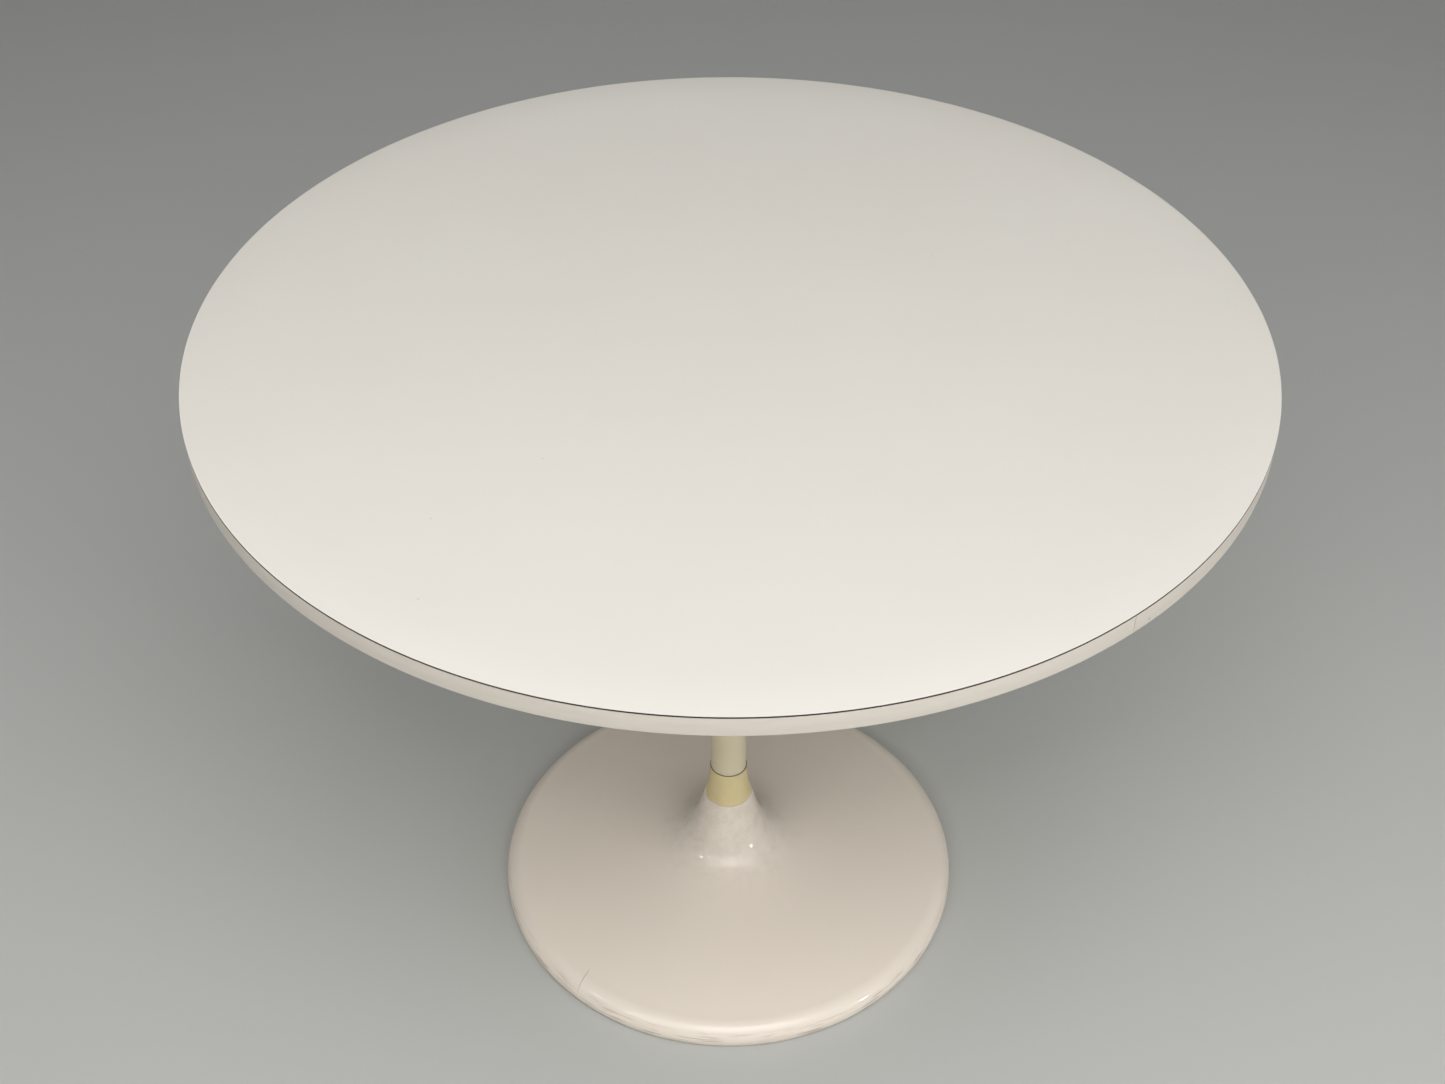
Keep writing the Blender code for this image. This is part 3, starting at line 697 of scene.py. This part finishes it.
def make_collar(sizes, colours):
    """Collar: a waisted flare outside, with a lead-in at its top and a skirt that drops into the neck.

    Its outer line is one cubic Bezier from the top edge to the foot.
    """
    high, low, foot = high_of("collar"), low_of("collar"), radius_of("collar")
    rest = high_of("base_cover") + GAP
    hole = radius_of("column_tube") + GAP
    skirt = sizes.neck_radius - sizes.shell - GAP
    head = sizes.collar_head
    ease, lead_in = 0.3 * MM, 0.2 * MM  # at the foot and at the top
    head_handle, foot_handle, toe = 20 * MM, 10 * MM, 2.9 * MM  # of the outer curve
    flare = bezier([(head, high - ease), (head + ease, high - head_handle),
                    (foot - toe, rest + foot_handle), (foot, rest + ease)], 28)
    outline = np.concatenate([[(head - lead_in, high)], flare,
                              [(foot - ease, rest), (skirt, rest), (skirt, low), (hole, low),
                               (hole, high - 2 * ease), (hole + lead_in, high)]])
    finish(turned("collar_sleeve", outline), aged_plastic(tuple(colours.collar)), "yellowed_plastic",
           "collar")


def make_rod(zinc):
    """Tie rod, threaded at both ends: the radius dips by a V that follows the phase of the pitch."""
    low, high, radius = low_of("tie_rod"), high_of("tie_rod"), radius_of("tie_rod")
    pitch, depth, threaded, end = 1.5 * MM, 0.9 * MM, 40 * MM, 1 * MM
    turns = whole_turn(28)
    coil = np.arange(low + end, low + threaded, pitch / 6)
    plain = np.linspace(high - threaded, low + threaded, 12)[1:-1]
    heights = np.concatenate([high + low - coil, plain, coil[::-1]])[:, None]
    phase = (turns / (2 * pi) + heights / pitch) % 1.0
    near_end = np.minimum(heights - low, high - heights) < threaded
    shaft = turned_grid(radius - depth * np.abs(2 * phase - 1) * near_end, heights, turns)
    tip = np.array([[0], [radius - end]])
    upper, lower = turned_grid(tip, high, turns), turned_grid(tip[::-1], low, turns)
    grid = np.concatenate([upper, shaft, lower])
    finish(skin("tie_bar", grid), zinc, "zinc_plated_steel", "tie_rod")


def make_nut(name, zinc):
    """Hexagon nut: the radius is the flat's distance over the cosine of the turn from its middle.

    A 30-degree cone takes the corners off at both ends: the further out a point is, the lower its edge.
    """
    low, high = low_of(name), high_of(name)
    sides = [(b - a) / 2 for a, b in zip(*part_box(name))][:2]
    flat, bore = min(sides), radius_of("tie_rod") + 0.1 * MM
    turns = whole_turn(96)
    first = 0 if sides[0] > sides[1] else pi / 6
    hexagon = flat / np.cos((turns + first) % (pi / 3) - pi / 6)
    land, cone = 0.97 * flat, 0.58  # radius of the flat face, tangent of the cone
    drop = (hexagon - land) * cone
    way = np.linspace(1, 0, 5)[:, None]
    side = turned_grid(hexagon + 0 * way, low + drop + (high - low - 2 * drop) * way, turns)
    ease = 0.5 * MM
    faces = np.array([[bore + ease, high], [land, high], [land, low], [bore + ease, low],
                      [bore, low + ease], [bore, high - ease]])
    plain = turned_grid(faces[:, :1], faces[:, 1:], turns)
    grid = np.concatenate([plain[:2], side, plain[2:]])
    finish(skin(name.replace("nut", "hex_nut"), grid, along=True), zinc, "zinc_plated_steel", name)


def make_washer(name, zinc):
    """Flat washer, stamped, with eased edges."""
    low, high, radius, bore = low_of(name), high_of(name), radius_of(name), radius_of("tie_rod") + GAP
    outline = rounded([(bore, high), (radius, high), (radius, low), (bore, low)], 0.3 * MM)
    finish(turned(name.replace("washer", "flat_washer"), outline, 64), zinc, "zinc_plated_steel", name)


# Base

def base_outline(sizes):
    """The moulded base from its neck lip down the trumpet, round the rolled rim and back up inside.

    The trumpet is a cubic Bezier from the neck to the start of the rim, the rim is a quarter ellipse that
    turns under, and the inner side repeats the trumpet one shell further in.
    """
    high, low, radius = high_of("base_cover"), low_of("base_cover"), radius_of("base_cover")
    lip, widest, tuck = 0.8 * MM, 11 * MM, 1.8 * MM  # mouth's radius, rim's widest height, step under it
    neck_handle, dish_handle = 90 * MM, 165 * MM
    start = np.array([sizes.neck_radius, high - lip])
    rim = np.array([radius - sizes.rim_width, sizes.rim_height])
    neck_way = np.array([cos(sizes.neck_slope), -sin(sizes.neck_slope)])
    dish_way = np.array([cos(sizes.dish_slope), -sin(sizes.dish_slope)])
    mouth = arc((start[0] - lip, high - lip), (lip, lip), 90, 12, 4)
    trumpet = bezier([start, start + neck_handle * neck_way, rim - dish_handle * dish_way, rim], 90)
    roll = arc((rim[0], widest), (radius - rim[0], rim[1] - widest), 81, -14, 26)
    lower = radius - tuck
    wall = sizes.shell
    under = arc((rim[0], widest), (radius - rim[0] - wall, rim[1] - widest - wall), 0, 80, 8)
    inside = inset(trumpet[2::3], wall)
    inside = inside[inside[:, 0] > sizes.neck_radius - wall]
    return np.concatenate([mouth, trumpet, roll, [(lower, low), (lower - wall, low)], under, inside[::-1],
                           [(sizes.neck_radius - wall, high)]])


def make_rim_strip(sizes, colours):
    """Strip under the rim: an eased rectangle turned between the cover and the weight."""
    high, low, radius = high_of("rim_trim"), low_of("rim_trim"), radius_of("rim_trim")
    inner = radius_of("base_weight") + GAP
    section = rounded([(inner, high), (radius, high), (radius, low), (inner, low)], 0.9 * MM)
    finish(turned("rim_strip", section, sizes.columns), extruded_strip(tuple(colours.trim)),
           "white_trim_plastic", "rim_trim")


def make_pad(name, felt):
    """Felt disc with a soft upper and lower edge."""
    low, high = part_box(name)
    radius = (high[0] - low[0]) / 2
    corners = [(0, high[2]), (radius, high[2]), (radius, low[2]), (0, low[2])]
    outline = rounded(corners, 0.5 * MM, closed=False)
    piece = turned(name.replace("felt_", ""), outline, 64, closed=False, at=centre_of(name))
    finish(piece, felt, "felt", name)


# Stage

def soft_light(name, at, aim, size, power):
    """A rectangular soft box that faces a point."""
    lamp = bpy.data.lights.new(name, "AREA")
    lamp.shape = "RECTANGLE"
    lamp.size, lamp.size_y = size
    lamp.energy = power
    holder = bpy.data.objects.new(name, lamp)
    holder.location = at
    holder.rotation_euler = (Vector(aim) - Vector(at)).to_track_quat("-Z", "Y").to_euler()
    holder.visible_camera = False
    bpy.context.scene.collection.objects.link(holder)


def make_floor():
    """A round studio floor that sweeps up into a wall: a level disc, a quarter circle and an upright."""
    level, sweep, wall, sheet = 7.0, 2.5, 6.0, 0.02
    rise = arc((level, sweep), (sweep, sweep), -90, 0, 32)
    far = level + sweep
    outline = np.concatenate([[(0, 0), (1, 0), (3, 0)], rise,
                              [(far, wall), (far + sheet, wall), (far + sheet, -sheet), (0, -sheet)]])
    floor = turned("studio_floor", outline, 96, closed=False)
    floor.data.materials.append(rolled_paint())


def make_lights():
    """Broad boxes overhead, in front and to the right for the tones, and small windows for the gloss."""
    middle, base = (0, 0, 0.4), (0, 0, 0.1)
    soft_light("ceiling", (0, 0, 6.5), (0, 0, 0), (16, 16), 130)
    soft_light("front_ceiling", (0, -3.5, 4.5), (0, 0, 0), (7, 4), 180)
    soft_light("key", (0.2, -1.6, 2.2), middle, (1.6, 1.2), 11.5)
    soft_light("high_front", (0.1, -1.0, 2.8), middle, (1.4, 1.4), 12.5)
    soft_light("right", (1.9, -1.2, 1.2), middle, (1.2, 1.2), 5.5)
    soft_light("window_right", (1.97, -1.31, 0.66), base, (0.10, 0.16), 5.0)
    soft_light("window_left", (-1.66, -0.84, 1.64), base, (0.08, 0.20), 1.8)
    soft_light("window_left_near", (-1.37, -1.38, 1.54), base, (0.08, 0.20), 1.8)
    soft_light("window_front", (-0.27, -1.96, 1.50), base, (0.16, 0.12), 0.7)


def make_sky():
    """A pale sky, seen only over the studio's wall."""
    world = bpy.data.worlds.new("studio_sky")
    world.use_nodes = True
    background = world.node_tree.nodes["Background"]
    background.inputs["Color"].default_value = linear("#eef0f0")
    background.inputs["Strength"].default_value = 0.01
    bpy.context.scene.world = world


def make_camera():
    """A camera above the front edge of the top, looking down at the table."""
    lens = bpy.data.cameras.new("camera")
    lens.sensor_width = 36.0
    lens.lens = 47.67
    holder = bpy.data.objects.new("camera", lens)
    holder.location = (-0.0124, -1.4167, 1.6980)
    holder.rotation_euler = (radians(49.355), 0.0, radians(-0.235))
    bpy.context.scene.collection.objects.link(holder)
    bpy.context.scene.camera = holder
    bpy.context.scene.view_settings.view_transform = "Standard"


# Operators

class TABLE_OT_top_sheet(bpy.types.Operator):
    """Build the laminate sheet with its dark sawn edge"""
    bl_idname = "table.top_sheet"
    bl_label = "Top sheet"

    def execute(self, context):
        make_sheet(context.scene.table_sizes, context.scene.table_colours)
        return {"FINISHED"}


class TABLE_OT_edge_strip(bpy.types.Operator):
    """Build the strip round the edge with its butt joint"""
    bl_idname = "table.edge_strip"
    bl_label = "Edge strip"

    def execute(self, context):
        make_strip(context.scene.table_sizes, context.scene.table_colours)
        return {"FINISHED"}


class TABLE_OT_board(bpy.types.Operator):
    """Finish the board, its backing and the cast weight"""
    bl_idname = "table.board"
    bl_label = "Board and weight"

    def execute(self, context):
        paint("top_board", raw_chipboard())
        paint("backing_laminate", sanded_backing())
        paint("base_weight", sand_casting())
        return {"FINISHED"}


class TABLE_OT_frame(bpy.types.Operator):
    """Build the enamelled steel: hub, arms and tube"""
    bl_idname = "table.frame"
    bl_label = "Spider and tube"

    def execute(self, context):
        sizes, enamel = context.scene.table_sizes, stoved_enamel(tuple(context.scene.table_colours.enamel))
        make_hub(sizes, enamel)
        arms = nodes_named("spider_arm_")
        for number, name in enumerate(arms):
            make_arm(name, pi / 4 + number * 2 * pi / len(arms), sizes, enamel)
        make_tube(sizes, enamel)
        return {"FINISHED"}


class TABLE_OT_collar(bpy.types.Operator):
    """Build the yellowed collar"""
    bl_idname = "table.collar"
    bl_label = "Collar"

    def execute(self, context):
        make_collar(context.scene.table_sizes, context.scene.table_colours)
        return {"FINISHED"}


class TABLE_OT_fasteners(bpy.types.Operator):
    """Build the wood screws, the tie rod, its nuts and its washers"""
    bl_idname = "table.fasteners"
    bl_label = "Fasteners"

    def execute(self, context):
        zinc = bright_zinc()
        for name in nodes_named("wood_screw_"):
            make_screw(name, zinc)
        make_rod(zinc)
        for name in ("upper_nut", "lower_nut"):
            make_nut(name, zinc)
        for name in ("upper_washer", "lower_washer"):
            make_washer(name, zinc)
        return {"FINISHED"}


class TABLE_OT_base(bpy.types.Operator):
    """Build the moulded trumpet base"""
    bl_idname = "table.base"
    bl_label = "Moulded base"

    def execute(self, context):
        sizes = context.scene.table_sizes
        cover = turned("moulded_base", base_outline(sizes), sizes.columns)
        gelcoat = sprayed_gelcoat(tuple(context.scene.table_colours.base))
        finish(cover, gelcoat, "white_gelcoat", "base_cover")
        return {"FINISHED"}


class TABLE_OT_feet(bpy.types.Operator):
    """Build the strip under the rim and the felt pads"""
    bl_idname = "table.feet"
    bl_label = "Rim strip and pads"

    def execute(self, context):
        make_rim_strip(context.scene.table_sizes, context.scene.table_colours)
        felt = needled_felt()
        for name in nodes_named("felt_pad_"):
            make_pad(name, felt)
        return {"FINISHED"}


class TABLE_OT_stage(bpy.types.Operator):
    """Lay the floor and set the sky, the lights and the camera"""
    bl_idname = "table.stage"
    bl_label = "Stage"

    def execute(self, context):
        make_floor()
        make_lights()
        make_sky()
        make_camera()
        return {"FINISHED"}


class TABLE_PT_panel(bpy.types.Panel):
    """The table's steps, sizes and colours"""
    bl_idname = "TABLE_PT_panel"
    bl_label = "Round pedestal table"
    bl_space_type = "VIEW_3D"
    bl_region_type = "UI"
    bl_category = "Table"

    def draw(self, context):
        for operator in OPERATORS:
            self.layout.operator(operator.bl_idname)
        for group in (context.scene.table_sizes, context.scene.table_colours):
            for name in group.__annotations__:
                self.layout.prop(group, name)


OPERATORS = (TABLE_OT_top_sheet, TABLE_OT_edge_strip, TABLE_OT_board, TABLE_OT_frame, TABLE_OT_collar,
             TABLE_OT_fasteners, TABLE_OT_base, TABLE_OT_feet, TABLE_OT_stage)
CLASSES = (TableSizes, TableColours, *OPERATORS, TABLE_PT_panel)


def register():
    for cls in CLASSES:
        bpy.utils.register_class(cls)
    bpy.types.Scene.table_sizes = PointerProperty(type=TableSizes)
    bpy.types.Scene.table_colours = PointerProperty(type=TableColours)


def unregister():
    del bpy.types.Scene.table_colours
    del bpy.types.Scene.table_sizes
    for cls in reversed(CLASSES):
        bpy.utils.unregister_class(cls)


def main():
    register()
    bpy.ops.table.top_sheet()
    bpy.ops.table.edge_strip()
    bpy.ops.table.board()
    bpy.ops.table.frame()
    bpy.ops.table.collar()
    bpy.ops.table.fasteners()
    bpy.ops.table.base()
    bpy.ops.table.feet()
    bpy.ops.table.stage()


if __name__ == "__main__":
    main()
